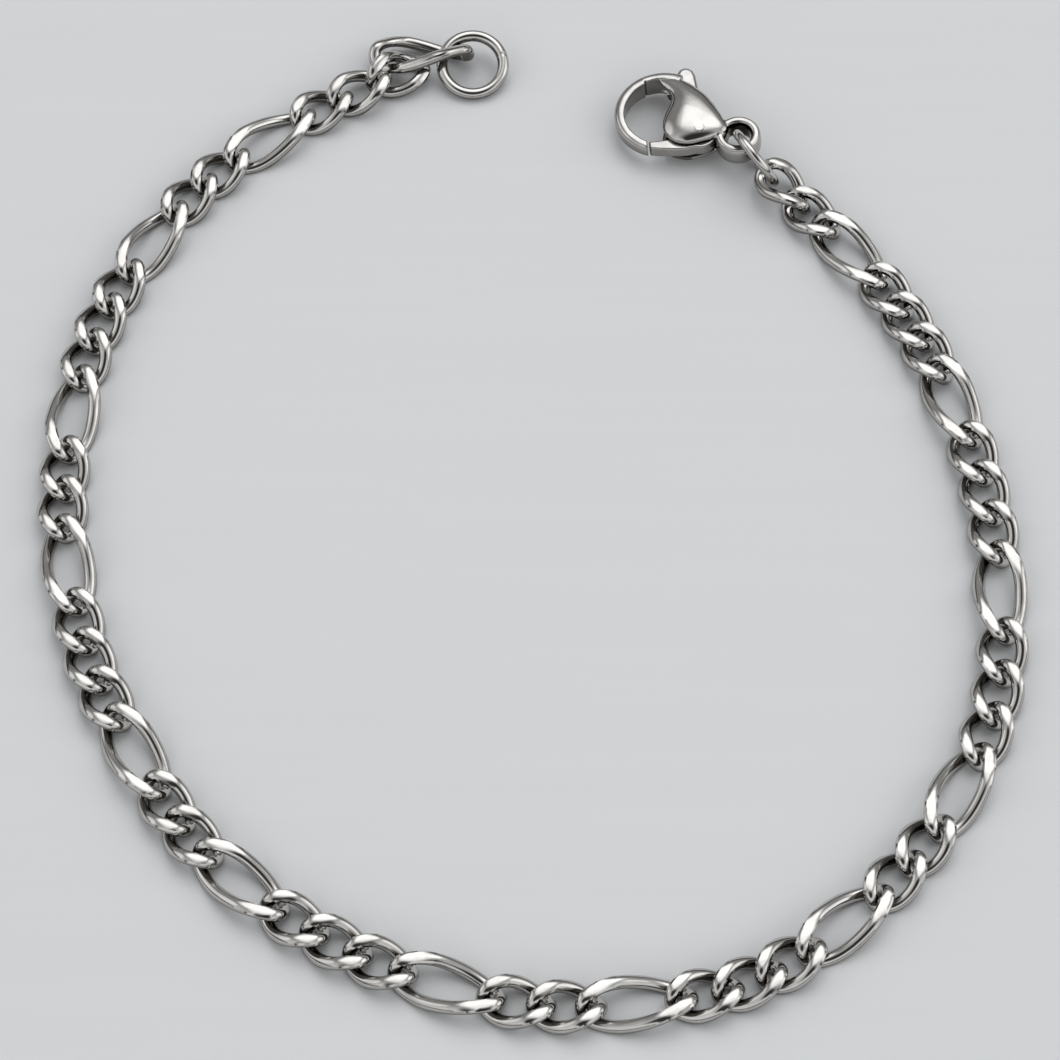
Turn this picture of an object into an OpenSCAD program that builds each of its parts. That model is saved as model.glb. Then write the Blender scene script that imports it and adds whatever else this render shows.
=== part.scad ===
// Figaro link bracelet, laid open on a surface: a chain of flat curb links with a plain ring
// at one end and a lobster clasp on a jump ring at the other.

/* [Links] */
// Thickness of the wire that the links are bent from
wire_d = 0.88; // [0.6:0.02:1.2]
// Length of the hole in a short link, in wires
short_hole_l = 3.85; // [3.8:0.01:4.4]
// Width of the hole in a short link, in wires
short_hole_w = 2.02; // [1.98:0.01:2.2]
// Length of the hole in a long link, in wires
long_hole_l = 6.85; // [6:0.01:8]
// Width of the hole in a long link, in wires
long_hole_w = 2.2; // [2.12:0.01:2.4]
// Play along the chain where two links hook, in wires
link_play = 0.33; // [0.3:0.01:0.4]
// Thickness of the chain over its polished flats, in wires
flat_t = 1.75; // [1.68:0.01:1.84]
// Turn of each end of a link out of the chain's plane
link_twist = 51; // [48:0.5:53]

/* [End ring] */
// Outer diameter of the ring at the chain's free end
end_ring_d = 5.3; // [5:0.1:6.5]
// Wire of that ring
end_ring_wire = 0.84; // [0.74:0.02:0.9]
// Tilt of that ring, which leans on the first link
end_ring_tilt = 17; // [15:0.5:18]

/* [Jump ring] */
// Outer diameter of the ring between the chain and the clasp
jump_ring_d = 5; // [4.9:0.05:5.2]
// Wire of that ring
jump_ring_wire = 0.7; // [0.6:0.02:0.76]
// Lean of that ring from the surface
jump_ring_tilt = 66; // [64:0.5:67]

/* [Clasp body] */
// Length that the clasp's outline is drawn to, from the hook's outer end to the eye's
clasp_l = 10.8; // [10.6:0.05:11]
// Slope of the clasp, whose eye is held up by the jump ring
clasp_tilt = 5; // [4:0.5:6]
// Overall thickness at the crown of the two cheeks
clasp_t = 2.7; // [2.5:0.05:3]
// Drop of a cheek from its crown to its rim
cheek_crown = 0.22; // [0.1:0.02:0.3]
// Thickness of the hook
hook_t = 1.5; // [1.3:0.05:1.7]
// Thickness of the eye
eye_t = 1.3; // [1.25:0.05:1.4]
// Rounding of the edges of the hook and the eye
bar_corner = 0.24; // [0.15:0.01:0.3]
// Wall of the hook
hook_wall = 0.84; // [0.7:0.02:0.9]
// Inner radius of the hook
hook_in_r = 2.6; // [2.5:0.05:2.75]
// Hole of the eye
eye_hole_d = 2; // [1.9:0.05:2.1]
// Wall of the eye
eye_wall = 0.7; // [0.65:0.01:0.8]

/* [Lever] */
// Thickness of the lever
lever_t = 0.95; // [0.7:0.05:1.1]
// Clear space on each side of the lever
lever_gap = 0.08; // [0.06:0.01:0.15]
// Hub of the lever round the pin
hub_d = 2.36; // [2.1:0.02:2.4]
// Reach of the gate from the pin
gate_reach = 3.6; // [3.4:0.05:3.7]
// Space between the gate's end and the hook's tip
gate_gap = 0.12; // [0.1:0.01:0.2]
// Reach of the thumb tab from the pin
tab_reach = 5.56; // [5.4:0.02:5.7]
// Width of the thumb tab's rounded end
tab_d = 1.16; // [1:0.04:1.2]

/* [Pivot pin] */
// Diameter of the pin
pin_d = 0.8; // [0.6:0.02:1]
// How far the pin's ends lie below the cheeks' crowns
pin_sink = 0.05; // [0.03:0.01:0.1]
// Space round the pin in the cheeks, on the radius
pin_fit = 0.02; // [0.01:0.01:0.04]
// Space round the pin in the lever, on the radius
lever_fit = 0.05; // [0.03:0.01:0.08]

/* [Hidden] */

// Groups of the chain from its free end: short links that follow one long link, and how far
// the group is pulled out (above 0) or pushed together (below 0), in shares of the play
GROUPS = [
  [3, 0.2], [2, 0.2], [3, 0.1], [2, 0], [3, -0.1], [2, -0.4], [3, 0],
  [2, 0.2], [3, -0.5], [2, 0.2], [3, 0.1], [3, 0.1], [3, -0.9], [2, -0.9]
];

// Route that the chain lies on, from the free end round to the clasp
ROUTE = [
  [-3, 40.9], [-7.8, 39], [-12.6, 36.2], [-19, 32], [-23.7, 27.6], [-27.4, 22.2],
  [-30.3, 15.5], [-31.6, 8.4], [-31.7, 1], [-31, -3.7], [-29, -10.8], [-25.6, -17.2],
  [-22.5, -22.1], [-18.5, -26.2], [-12.3, -30.3], [-5.3, -33.1], [0.7, -34.4], [6.9, -34.2],
  [13.4, -33], [19.4, -29.4], [24.2, -24.8], [27.9, -19.7], [30.7, -12.9], [31.5, -5.2],
  [30.9, 2.5], [29.2, 9.8], [26.3, 16.6], [23, 21.9], [20.3, 25], [18.3, 27], [16.8, 27.9]
];

// Links that don't lie flat in the row: number in the chain, shift along and across it and
// lift, in wires, then turn in the plane, tip and roll, in degrees
SETTLED = [
  [0, 2.64, -0.35, 0.5, -24, -5, 26.5],
  [1, 0.14, 0.32, 0.36, -3, 13, -25],
  [2, 0.05, 0.23, 0.33, -6, -7.5, -2.5],
  [48, 0, -0.02, 0, -1, 0, 0],
  [49, -0.1, -0.41, 0.47, -14.5, 4.5, 16.5]
];

link_steps = 16;
wire_sides = 6;
route_steps = 12;
ring_sides = 64;
cheek_sides = 32;
corner_sides = 24;

// Rounder ends on the short links, straighter sides on the long ones
short_square = 2.2;
long_square = 2.5;

// Each link's kind (1 for a long one) and its group's pull
LINKS = [for (g = GROUPS) for (k = [0:g[0]]) [k == 0 ? 1 : 0, g[1]]];
link_count = len(LINKS);

function hole_l(long) = wire_d * (long == 1 ? long_hole_l : short_hole_l);
function hole_w(long) = wire_d * (long == 1 ? long_hole_w : short_hole_w);
function squareness(long) = 2 / (long == 1 ? long_square : short_square);
play = link_play * wire_d;
function pitch(link) = hole_l(link[0]) - play + link[1] * play;

// Length along the chain at each place where two links meet
function sums(list, i = 0, total = 0) =
  i == len(list) ? [total] : concat([total], sums(list, i + 1, total + list[i]));
MEETS = sums([for (link = LINKS) pitch(link)]);
chain_l = MEETS[link_count];

// Smooth curve through the route's points, with its length up to each step
function ghost(i) =
  i < 0 ? 2 * ROUTE[0] - ROUTE[1]
  : i == len(ROUTE) ? 2 * ROUTE[i - 1] - ROUTE[i - 2]
  : ROUTE[i];
function bend(i, t) =
  let (a = ghost(i - 1), b = ghost(i), c = ghost(i + 1), d = ghost(i + 2))
  (2 * b + (c - a) * t + (2 * a - 5 * b + 4 * c - d) * t * t
    + (3 * b - a - 3 * c + d) * t * t * t) / 2;
CURVE = [
  for (i = [0:len(ROUTE) - 2]) for (k = [0:route_steps - 1]) bend(i, k / route_steps),
  ROUTE[len(ROUTE) - 1]
];
CURVE_L = sums([for (i = [1:len(CURVE) - 1]) norm(CURVE[i] - CURVE[i - 1])]);
route_l = CURVE_L[len(CURVE_L) - 1];
CURVE_X = [for (i = [0:len(CURVE) - 1]) [CURVE_L[i] / route_l, CURVE[i].x]];
CURVE_Y = [for (i = [0:len(CURVE) - 1]) [CURVE_L[i] / route_l, CURVE[i].y]];

// Place on the route at a length along the chain; the loop grows with the chain
loop_k = chain_l / route_l;
function on_route(s) = loop_k * [lookup(s / chain_l, CURVE_X), lookup(s / chain_l, CURVE_Y)];

// A link's centreline in its own frame, at angle t of its oval
function power(v, e) = sign(v) * pow(abs(v), e);
function oval(long, t) =
  let (
    half_l = (hole_l(long) + wire_d) / 2,
    half_w = (hole_w(long) + wire_d) / 2,
    x = power(cos(t), squareness(long)),
    y = half_w * power(sin(t), squareness(long)),
    turn = -link_twist * x
  )
  [half_l * x, y * cos(turn), y * sin(turn)];

// One hexagonal ring of the wire there, with the flats polished off above and below
flat_z = flat_t * wire_d / 2;
function polished(p) = [p.x, p.y, max(-flat_z, min(flat_z, p.z))];
function unit(v) = v / norm(v);
eps_t = 0.5;
function wire_ring(long, t) =
  let (
    here = oval(long, t),
    ahead = unit(oval(long, t + eps_t) - oval(long, t - eps_t)),
    half_l = (hole_l(long) + wire_d) / 2,
    turn = -link_twist * here.x / half_l,
    up = [0, -sin(turn), cos(turn)],
    normal = unit(up - (up * ahead) * ahead),
    side = cross(ahead, normal)
  )
  [for (k = [0:wire_sides - 1])
    let (q = 360 * k / wire_sides)
    polished(here + wire_d / 2 * (cos(q) * side + sin(q) * normal))];

SHORT_LINK = [for (i = [0:link_steps - 1]) each wire_ring(0, 360 * i / link_steps)];
LONG_LINK = [for (i = [0:link_steps - 1]) each wire_ring(1, 360 * i / link_steps)];

// Turns a point about the link's own axis, tips its front up, then turns it in the plane
function rolled(p, a) = [p.x, p.y * cos(a) - p.z * sin(a), p.y * sin(a) + p.z * cos(a)];
function tipped(p, a) = [p.x * cos(a) - p.z * sin(a), p.y, p.x * sin(a) + p.z * cos(a)];
function turned(p, a) = [p.x * cos(a) - p.y * sin(a), p.x * sin(a) + p.y * cos(a), p.z];

// Middle and heading of a link: it spans from one meeting place to the next
function link_mid(i) = (on_route(MEETS[i]) + on_route(MEETS[i + 1])) / 2;
function link_dir(i) =
  let (d = on_route(MEETS[i + 1]) - on_route(MEETS[i])) atan2(d.y, d.x);
function settle(i) =
  let (found = [for (row = SETTLED) if (row[0] == i) row])
  len(found) > 0 ? found[0] : [i, 0, 0, 0, 0, 0, 0];
function place_link(p, i) =
  let (
    rest = settle(i),
    heading = link_dir(i),
    shift = turned([rest[1], rest[2], 0] * wire_d, heading),
    mid = link_mid(i),
    own = turned(tipped(rolled(p, rest[6]), rest[5]), heading + rest[4])
  )
  own + [mid.x, mid.y, flat_z + rest[3] * wire_d] + shift;

CHAIN_POINTS = [
  for (i = [0:link_count - 1])
    for (p = LINKS[i][0] == 1 ? LONG_LINK : SHORT_LINK) place_link(p, i)
];
link_points = link_steps * wire_sides;
CHAIN_FACES = [
  for (i = [0:link_count - 1]) for (j = [0:link_steps - 1]) for (k = [0:wire_sides - 1])
    let (
      first = i * link_points,
      here = first + j * wire_sides,
      next = first + (j + 1) % link_steps * wire_sides,
      k2 = (k + 1) % wire_sides
    )
    each [[here + k, next + k, next + k2], [here + k, next + k2, here + k2]]
];

// End ring: its middle from the first link's outer end, in shares of its radius, and the
// side that is raised
first_end = place_link([-(hole_l(1) + wire_d) / 2, 0, 0], 0);
end_ring_r = (end_ring_d - end_ring_wire) / 2;
end_ring_from = [0.141, -0.323];
end_ring_side = 93;
end_ring_mid = [first_end.x, first_end.y] + end_ring_r * end_ring_from;
end_ring_z = end_ring_r * sin(end_ring_tilt) + end_ring_wire / 2;

// Jump ring: from the last link's end in the same way
last_end = place_link([(hole_l(0) + wire_d) / 2, 0, 0], link_count - 1);
jump_ring_r = (jump_ring_d - jump_ring_wire) / 2;
jump_ring_from = [-0.312, 0.093];
jump_ring_side = 211.5;
jump_ring_mid = [last_end.x, last_end.y] + jump_ring_r * jump_ring_from;
jump_ring_z = jump_ring_r * sin(jump_ring_tilt) + jump_ring_wire / 2;

// Outline of the clasp: round discs of the cheek and of the horn at its tip, in shares of
// the clasp's length from the pin; x runs to the eye
X = 0;
Y = 1;
RADIUS = 2;
CHEEK = clasp_l * [
  [-0.093, 0.005, 0.139], [-0.12, 0.241, 0.118], [0.051, 0.028, 0.106], [0.083, 0.116, 0.056]
];
HORN = clasp_l * [[-0.222, 0.315, 0.074], [-0.333, 0.357, 0.037]];
eye_at = clasp_l * [0.261, 0.052];
hook_at = clasp_l * [-0.292, 0.111];
slot_ends = clasp_l * [-0.287, 0.12];
hook_r = hook_in_r + hook_wall / 2;
hook_from = 95;
hook_to = 272;
neck_w = 1.9;
slot_t = lever_t + 2 * lever_gap;
through = 4 * clasp_t;

// Outline of the lever: gate in shares of its reach, arm and tab in shares of the tab's
GATE = gate_reach * [
  [-1, -0.403], [-0.528, -0.278], [-0.222, -0.056], [0.158, -0.278], [-0.139, -0.444],
  [-0.444, -0.536], [-0.944, -0.569]
];
ARM = tab_reach * [
  [-0.198, 0.018], [-0.468, 0.629], [-0.554, 0.872], [-0.374, 0.944], [-0.246, 0.737], [0.162, 0.126]
];
tab_at = tab_reach * [-0.459, 0.89];

// The clasp's eye hangs on the jump ring's far side, and its horn rests on the surface
clasp_heading = -18.3;
eye_from = [-0.511, 0.870];
eye_mid = jump_ring_mid + jump_ring_r * eye_from;
eye_way = turned([eye_at.x * cos(clasp_tilt), eye_at.y, 0], clasp_heading);
pin_at = eye_mid - [eye_way.x, eye_way.y];
horn_end = min([for (c = HORN) c[X] - (c[RADIUS] - cheek_crown)]);
clasp_z = clasp_t / 2 * cos(clasp_tilt) - horn_end * sin(clasp_tilt);

// The whole model stands on its own middle
ends = [
  for (p = CHAIN_POINTS) [p.x, p.y],
  end_ring_mid + [0, end_ring_r * sqrt(1 - pow(sin(end_ring_tilt) * sin(end_ring_side), 2)) + end_ring_wire / 2]
];
low = [min([for (p = ends) p.x]), min([for (p = ends) p.y])];
high = [max([for (p = ends) p.x]), max([for (p = ends) p.y])];
middle = (low + high) / 2;

module on_surface() {
  translate([-middle.x, -middle.y, 0]) children();
}

module in_clasp() {
  on_surface()
    translate([pin_at.x, pin_at.y, clasp_z])
      rotate([0, -clasp_tilt, clasp_heading])
        children();
}

// Round ring at a place on the surface, raised at one side
module ring(mid, z, r, wire, side, tilt) {
  on_surface()
    translate([mid.x, mid.y, z])
      rotate([0, -tilt, side])
        rotate_extrude($fn = ring_sides)
          translate([r, 0])
            circle(d = wire, $fn = ring_sides);
}

module end_ring() {
  color("silver")
    ring(end_ring_mid, end_ring_z, end_ring_r, end_ring_wire, end_ring_side, end_ring_tilt);
}

module chain() {
  color("silver")
    on_surface()
      polyhedron(points = CHAIN_POINTS, faces = CHAIN_FACES, convexity = 10);
}

module jump_ring() {
  color("silver")
    ring(jump_ring_mid, jump_ring_z, jump_ring_r, jump_ring_wire, jump_ring_side, jump_ring_tilt);
}

// Soft-cornered section of the hook and the eye, centred
module bar_section(w, t) {
  square([w - 2 * bar_corner, t], center = true);
  square([w, t - 2 * bar_corner], center = true);
  for (x = [-1, 1]) for (y = [-1, 1])
    translate([x * (w / 2 - bar_corner), y * (t / 2 - bar_corner)])
      circle(r = bar_corner, $fn = corner_sides);
}

module bore(d) {
  cylinder(d = d, h = through, center = true, $fn = ring_sides);
}

// The hook stops short of the gate's sweep
module hook() {
  difference() {
    translate([hook_at.x, hook_at.y, 0])
      rotate([0, 0, hook_from])
        rotate_extrude(angle = hook_to - hook_from, $fn = ring_sides)
          translate([hook_r, 0])
            bar_section(hook_wall, hook_t);
    bore(2 * (gate_reach + gate_gap));
  }
}

// Eye with the neck that joins it to the cheeks, hollowed for the lever's hub
module eye() {
  difference() {
    union() {
      translate([eye_at.x, eye_at.y, 0])
        rotate_extrude($fn = ring_sides)
          translate([(eye_hole_d + eye_wall) / 2, 0])
            bar_section(eye_wall, eye_t);
      translate([slot_ends[1], eye_at.y - neck_w / 2, -eye_t / 2])
        cube([eye_at.x - slot_ends[1], neck_w, eye_t]);
    }
    cylinder(d = hub_d + 2 * lever_gap, h = slot_t, center = true, $fn = ring_sides);
    translate([eye_at.x, eye_at.y, 0])
      bore(eye_hole_d);
  }
}

module crowned(discs) {
  hull() {
    for (c = discs) {
      translate([c[X], c[Y], 0])
        cylinder(r = c[RADIUS], h = clasp_t - 2 * cheek_crown, center = true, $fn = cheek_sides);
      translate([c[X], c[Y], 0])
        cylinder(r = c[RADIUS] - cheek_crown, h = clasp_t, center = true, $fn = cheek_sides);
    }
  }
}

module clasp_body() {
  color("silver")
    in_clasp()
      difference() {
        union() {
          difference() {
            union() {
              crowned(CHEEK);
              crowned(HORN);
            }
            // Slot that the lever swings in, closed by the horn's fold and the neck
            translate([slot_ends[0], -clasp_l / 2, -slot_t / 2])
              cube([slot_ends[1] - slot_ends[0], clasp_l, slot_t]);
          }
          hook();
          eye();
        }
        bore(pin_d + 2 * pin_fit);
      }
}

module lever_plate(outline) {
  linear_extrude(height = lever_t, center = true)
    polygon(outline);
}

module lever() {
  color("gainsboro")
    in_clasp()
      difference() {
        union() {
          cylinder(d = hub_d, h = lever_t, center = true, $fn = ring_sides);
          intersection() {
            cylinder(r = gate_reach, h = lever_t, center = true, $fn = ring_sides);
            lever_plate(GATE);
          }
          lever_plate(ARM);
          translate([tab_at.x, tab_at.y, 0])
            cylinder(d = tab_d, h = lever_t, center = true, $fn = ring_sides);
        }
        bore(pin_d + 2 * lever_fit);
      }
}

module pivot_pin() {
  color("silver")
    in_clasp()
      cylinder(d = pin_d, h = clasp_t - 2 * pin_sink, center = true, $fn = ring_sides);
}

end_ring();
chain();
jump_ring();
clasp_body();
lever();
pivot_pin();
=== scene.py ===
"""Dresses the figaro link bracelet, its rings and its lobster clasp in polished steel."""

import logging
import math
from dataclasses import astuple, dataclass, field, replace
from enum import Enum
from typing import Callable, Sequence

import bmesh
import bpy
import numpy as np
from mathutils import Matrix, Vector

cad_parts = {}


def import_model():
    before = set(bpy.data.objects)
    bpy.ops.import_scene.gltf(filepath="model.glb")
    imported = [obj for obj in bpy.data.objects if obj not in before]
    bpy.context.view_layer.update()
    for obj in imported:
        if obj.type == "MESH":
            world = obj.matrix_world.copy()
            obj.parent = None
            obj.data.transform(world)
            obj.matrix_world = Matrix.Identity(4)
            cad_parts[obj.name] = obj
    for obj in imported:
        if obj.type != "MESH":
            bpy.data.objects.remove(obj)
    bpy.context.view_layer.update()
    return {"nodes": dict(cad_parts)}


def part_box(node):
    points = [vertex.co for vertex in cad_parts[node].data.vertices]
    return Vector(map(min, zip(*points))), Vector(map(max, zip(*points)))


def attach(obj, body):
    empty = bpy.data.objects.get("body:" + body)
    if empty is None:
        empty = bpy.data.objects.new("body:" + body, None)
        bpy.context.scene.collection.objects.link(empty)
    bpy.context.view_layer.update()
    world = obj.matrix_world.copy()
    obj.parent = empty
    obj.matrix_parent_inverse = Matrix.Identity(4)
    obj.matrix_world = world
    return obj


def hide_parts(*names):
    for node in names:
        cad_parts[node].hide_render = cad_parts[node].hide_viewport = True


LOG = logging.getLogger("bracelet")
MM = 0.001
# Points closer than this, in millimetres, are one
WELD = 0.0001
# Cell of the grid that fuses the parts of a piece, in millimetres
VOXEL = 0.05
Point2 = tuple[float, float]
Point3 = tuple[float, float, float]
Colour = tuple[float, float, float]


def eased(share: float) -> float:
    """Share that starts and ends gently, on its way from 0 to 1."""
    return share * share * (3 - 2 * share)


class Side(Enum):
    """Which half of the clasp a piece belongs to, as the sign of its height."""

    UPPER = 1
    LOWER = -1


class Bench:
    """Small helpers for work in object and edit mode, in millimetres until a piece is seated."""

    @staticmethod
    def clear() -> None:
        """Deselects every object."""
        bpy.ops.object.select_all(action="DESELECT")

    @staticmethod
    def take(piece: bpy.types.Object) -> None:
        """Makes one object the only selected and active one.

        Args:
            piece: The object to work on.
        """
        Bench.clear()
        piece.select_set(True)
        bpy.context.view_layer.objects.active = piece

    @staticmethod
    def finish(piece: bpy.types.Object, kind: str, **settings: object) -> None:
        """Adds a modifier with its settings and applies it.

        Args:
            piece: The object to change.
            kind: Blender's name for the modifier's type.
            **settings: Values for the modifier's fields.
        """
        Bench.take(piece)
        modifier = piece.modifiers.new(kind.title(), kind)
        for name, value in settings.items():
            setattr(modifier, name, value)
        bpy.ops.object.modifier_apply(modifier=modifier.name)

    @staticmethod
    def soften(piece: bpy.types.Object, width: float, segments: int) -> None:
        """Rounds the sharp edges of a piece.

        Args:
            piece: The object to change.
            width: Width of the rounding, in millimetres.
            segments: Steps of the rounding.
        """
        sharp = math.radians(50)
        Bench.finish(
            piece, "BEVEL", width=width, segments=segments, limit_method="ANGLE", angle_limit=sharp,
        )

    @staticmethod
    def fuse(piece: bpy.types.Object, rounds: int) -> None:
        """Makes one closed skin of the parts of a piece and rounds their meeting lines.

        Args:
            piece: The joined object, in millimetres.
            rounds: How often its points are evened out.
        """
        Bench.finish(piece, "REMESH", mode="VOXEL", voxel_size=VOXEL, adaptivity=0.0)
        Bench.finish(piece, "SMOOTH", factor=0.5, iterations=rounds)

    @staticmethod
    def outward() -> None:
        """Turns every face of the piece in edit mode outwards."""
        bpy.ops.mesh.select_all(action="SELECT")
        bpy.ops.mesh.normals_make_consistent(inside=False)

    @staticmethod
    def join(pieces: Sequence[bpy.types.Object], name: str) -> bpy.types.Object:
        """Joins several objects into the first.

        Args:
            pieces: The objects, the first of which stays.
            name: Name of the joined object.

        Returns:
            The joined object.
        """
        Bench.take(pieces[0])
        for piece in pieces:
            piece.select_set(True)
        if len(pieces) > 1:
            bpy.ops.object.join()
        joined = bpy.context.view_layer.objects.active
        joined.name = joined.data.name = name
        return joined

    @staticmethod
    def seat(piece: bpy.types.Object, place: Matrix) -> None:
        """Puts a piece modelled in millimetres at its place, which goes into its mesh.

        Args:
            piece: The object, at the origin.
            place: Turn and place in the model's frame, in metres.
        """
        Bench.take(piece)
        piece.matrix_world = place @ Matrix.Scale(MM, 4)
        bpy.ops.object.transform_apply(location=True, rotation=True, scale=True)

    @staticmethod
    def smooth(piece: bpy.types.Object, angle: float) -> None:
        """Shades a piece smooth but for edges sharper than an angle.

        Args:
            piece: The object to shade.
            angle: Sharpest smooth edge, in degrees.
        """
        Bench.take(piece)
        bpy.ops.object.shade_smooth_by_angle(angle=math.radians(angle))

    @staticmethod
    def edit(piece: bpy.types.Object, mode: str = "VERT") -> None:
        """Enters edit mode with nothing selected.

        Args:
            piece: The object to edit.
            mode: What is selected in the edits that follow.
        """
        Bench.take(piece)
        bpy.ops.object.mode_set(mode="EDIT")
        bpy.ops.mesh.select_mode(type=mode)
        bpy.ops.mesh.select_all(action="DESELECT")

    @staticmethod
    def done() -> None:
        """Leaves edit mode."""
        bpy.ops.object.mode_set(mode="OBJECT")

    @staticmethod
    def pick(piece: bpy.types.Object, wanted: Callable[[Vector], bool]) -> None:
        """Selects, in edit mode, the vertices whose place passes a test.

        Args:
            piece: The object in edit mode.
            wanted: Test of a vertex's place.
        """
        cage = bmesh.from_edit_mesh(piece.data)
        for vertex in cage.verts:
            vertex.select_set(wanted(vertex.co))
        cage.select_flush_mode()
        bmesh.update_edit_mesh(piece.data)


@dataclass
class Wiring:
    """Adds nodes to one node tree and links them.

    Attributes:
        tree: The node tree.
    """

    # Places of a Mix node's two colours and of its result
    FIRST, SECOND, MIXED = 6, 7, 2

    tree: bpy.types.NodeTree

    def feed(self, socket: bpy.types.NodeSocket, source: object) -> None:
        """Gives a socket its value, or links it to the socket that gives it.

        Args:
            socket: The input.
            source: A value, or another node's output.
        """
        if isinstance(source, bpy.types.NodeSocket):
            self.tree.links.new(source, socket)
        else:
            socket.default_value = source

    def node(
        self, kind: str, feeds: dict[str | int, object] | None = None, **fields: object,
    ) -> bpy.types.Node:
        """Adds a node.

        Args:
            kind: Blender's name for the node's type.
            feeds: Values or outputs for its inputs.
            **fields: Values for its own fields.

        Returns:
            The node.
        """
        made = self.tree.nodes.new(kind)
        for name, value in fields.items():
            setattr(made, name, value)
        for key, source in (feeds or {}).items():
            self.feed(made.inputs[key], source)
        return made

    def blend(self, share: object, first: object, second: object) -> bpy.types.NodeSocket:
        """Colour between two others.

        Args:
            share: Share of the second colour.
            first: The first colour.
            second: The second colour.

        Returns:
            The socket that gives it.
        """
        feeds = {"Factor": share, self.FIRST: first, self.SECOND: second}
        return self.node("ShaderNodeMix", feeds, data_type="RGBA").outputs[self.MIXED]

    def sum(self, operation: str, *terms: object) -> bpy.types.NodeSocket:
        """Number made of others.

        Args:
            operation: Blender's name for the operation.
            *terms: The numbers, in order.

        Returns:
            The socket that gives it.
        """
        made = self.node("ShaderNodeMath", dict(enumerate(terms)), operation=operation)
        return made.outputs["Value"]


class PolishGroup:
    """Shared node group: uneven tone and gloss of polished metal, with its fine hairlines, and the
    painted shade that each point's shade mark mixes in as a dark colour.
    """

    NAME = "polish_wear_and_shade"
    SHADE_MARK = "shade_mark"
    INPUTS = (
        ("Tone", "NodeSocketColor"),
        ("Shade", "NodeSocketColor"),
        ("Roughness", "NodeSocketFloat"),
        ("Spread", "NodeSocketFloat"),
        ("Cloud", "NodeSocketFloat"),
        ("Hairline", "NodeSocketFloat"),
    )
    OUTPUTS = (
        ("Color", "NodeSocketColor"),
        ("Roughness", "NodeSocketFloat"),
        ("Height", "NodeSocketFloat"),
    )
    # Dark colour of the painted shade in hollows, crevices and sides that turn away from up
    SHADE_PAINT = (0.045, 0.037, 0.028, 1.0)
    CLOUD_DETAIL = 2.0
    CLOUD_RANGE = (0.35, 0.65)
    HAIR_TURN = (0.3, 0.2, 0.7)
    HAIR_STRETCH = (0.12, 1.0, 1.0)
    HAIR_DETAIL = 4.0
    HAIR_ROUGHNESS = 0.65

    @classmethod
    def mark(cls, piece: bpy.types.Object, level: Callable[[Vector], float]) -> None:
        """Gives each point of a piece its own painted shade.

        Args:
            piece: The piece, without marks.
            level: Darkness of the painted shade at a point, from 0 to 1.
        """
        marks = piece.data.attributes.new(cls.SHADE_MARK, "FLOAT", "POINT")
        for vertex, mark in zip(piece.data.vertices, marks.data):
            mark.value = level(vertex.co)

    @classmethod
    def tree(cls) -> bpy.types.NodeTree:
        """Builds the group once and hands it out.

        Returns:
            The node group.
        """
        found = bpy.data.node_groups.get(cls.NAME)
        if found:
            return found
        tree = bpy.data.node_groups.new(cls.NAME, "ShaderNodeTree")
        for way, sockets in (("INPUT", cls.INPUTS), ("OUTPUT", cls.OUTPUTS)):
            for name, kind in sockets:
                tree.interface.new_socket(name=name, in_out=way, socket_type=kind)
        wiring = Wiring(tree)
        given = wiring.node("NodeGroupInput").outputs
        where = wiring.node("ShaderNodeTexCoord").outputs["Object"]
        cloud = wiring.node("ShaderNodeTexNoise", {
            "Vector": where, "Scale": given["Cloud"], "Detail": cls.CLOUD_DETAIL,
        })
        low, high = cls.CLOUD_RANGE
        patch = wiring.node("ShaderNodeMapRange", {
            "Value": cloud.outputs["Fac"], "From Min": low, "From Max": high,
        }).outputs["Result"]
        # Share of the painted shade at each point
        shade_mark = wiring.node("ShaderNodeAttribute", attribute_name=cls.SHADE_MARK).outputs["Fac"]
        tint = wiring.blend(patch, given["Tone"], given["Shade"])
        turned = wiring.node("ShaderNodeMapping", {
            "Vector": where, "Rotation": cls.HAIR_TURN, "Scale": cls.HAIR_STRETCH,
        })
        hair = wiring.node("ShaderNodeTexNoise", {
            "Vector": turned.outputs["Vector"], "Scale": given["Hairline"],
            "Detail": cls.HAIR_DETAIL, "Roughness": cls.HAIR_ROUGHNESS,
        }).outputs["Fac"]
        worn = wiring.sum("MULTIPLY", hair, patch)
        wiring.node("NodeGroupOutput", {
            "Color": wiring.blend(shade_mark, tint, cls.SHADE_PAINT),
            "Roughness": wiring.sum("MULTIPLY_ADD", worn, given["Spread"], given["Roughness"]),
            "Height": hair,
        })
        return tree


@dataclass(frozen=True)
class SideShade:
    """Painted shade on the sides whose normals turn away from up.

    Attributes:
        start: Upward part of the normal where the painted shade starts.
        full: Upward part where it is full.
        most: Strength of the full painted shade.
    """

    start: float
    full: float
    most: float

    def mark(self, piece: bpy.types.Object) -> None:
        """Adds the painted shade of the sides to the shade marks that a piece has.

        Args:
            piece: The piece in place.
        """
        name, layers = PolishGroup.SHADE_MARK, piece.data.attributes
        marks = layers.get(name) or layers.new(name, "FLOAT", "POINT")
        for vertex, mark in zip(piece.data.vertices, marks.data):
            side = (self.start - vertex.normal.z) / (self.start - self.full)
            mark.value = max(mark.value, self.most * eased(min(1.0, max(0.0, side))))


# Painted shade on the sides of the chain, the rings and the clasp
CHAIN_SIDE_SHADE = SideShade(0.5, -0.15, 0.85)
RING_SIDE_SHADE = SideShade(0.5, -0.15, 0.75)
CLASP_SIDE_SHADE = SideShade(0.4, -0.2, 0.5)


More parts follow.
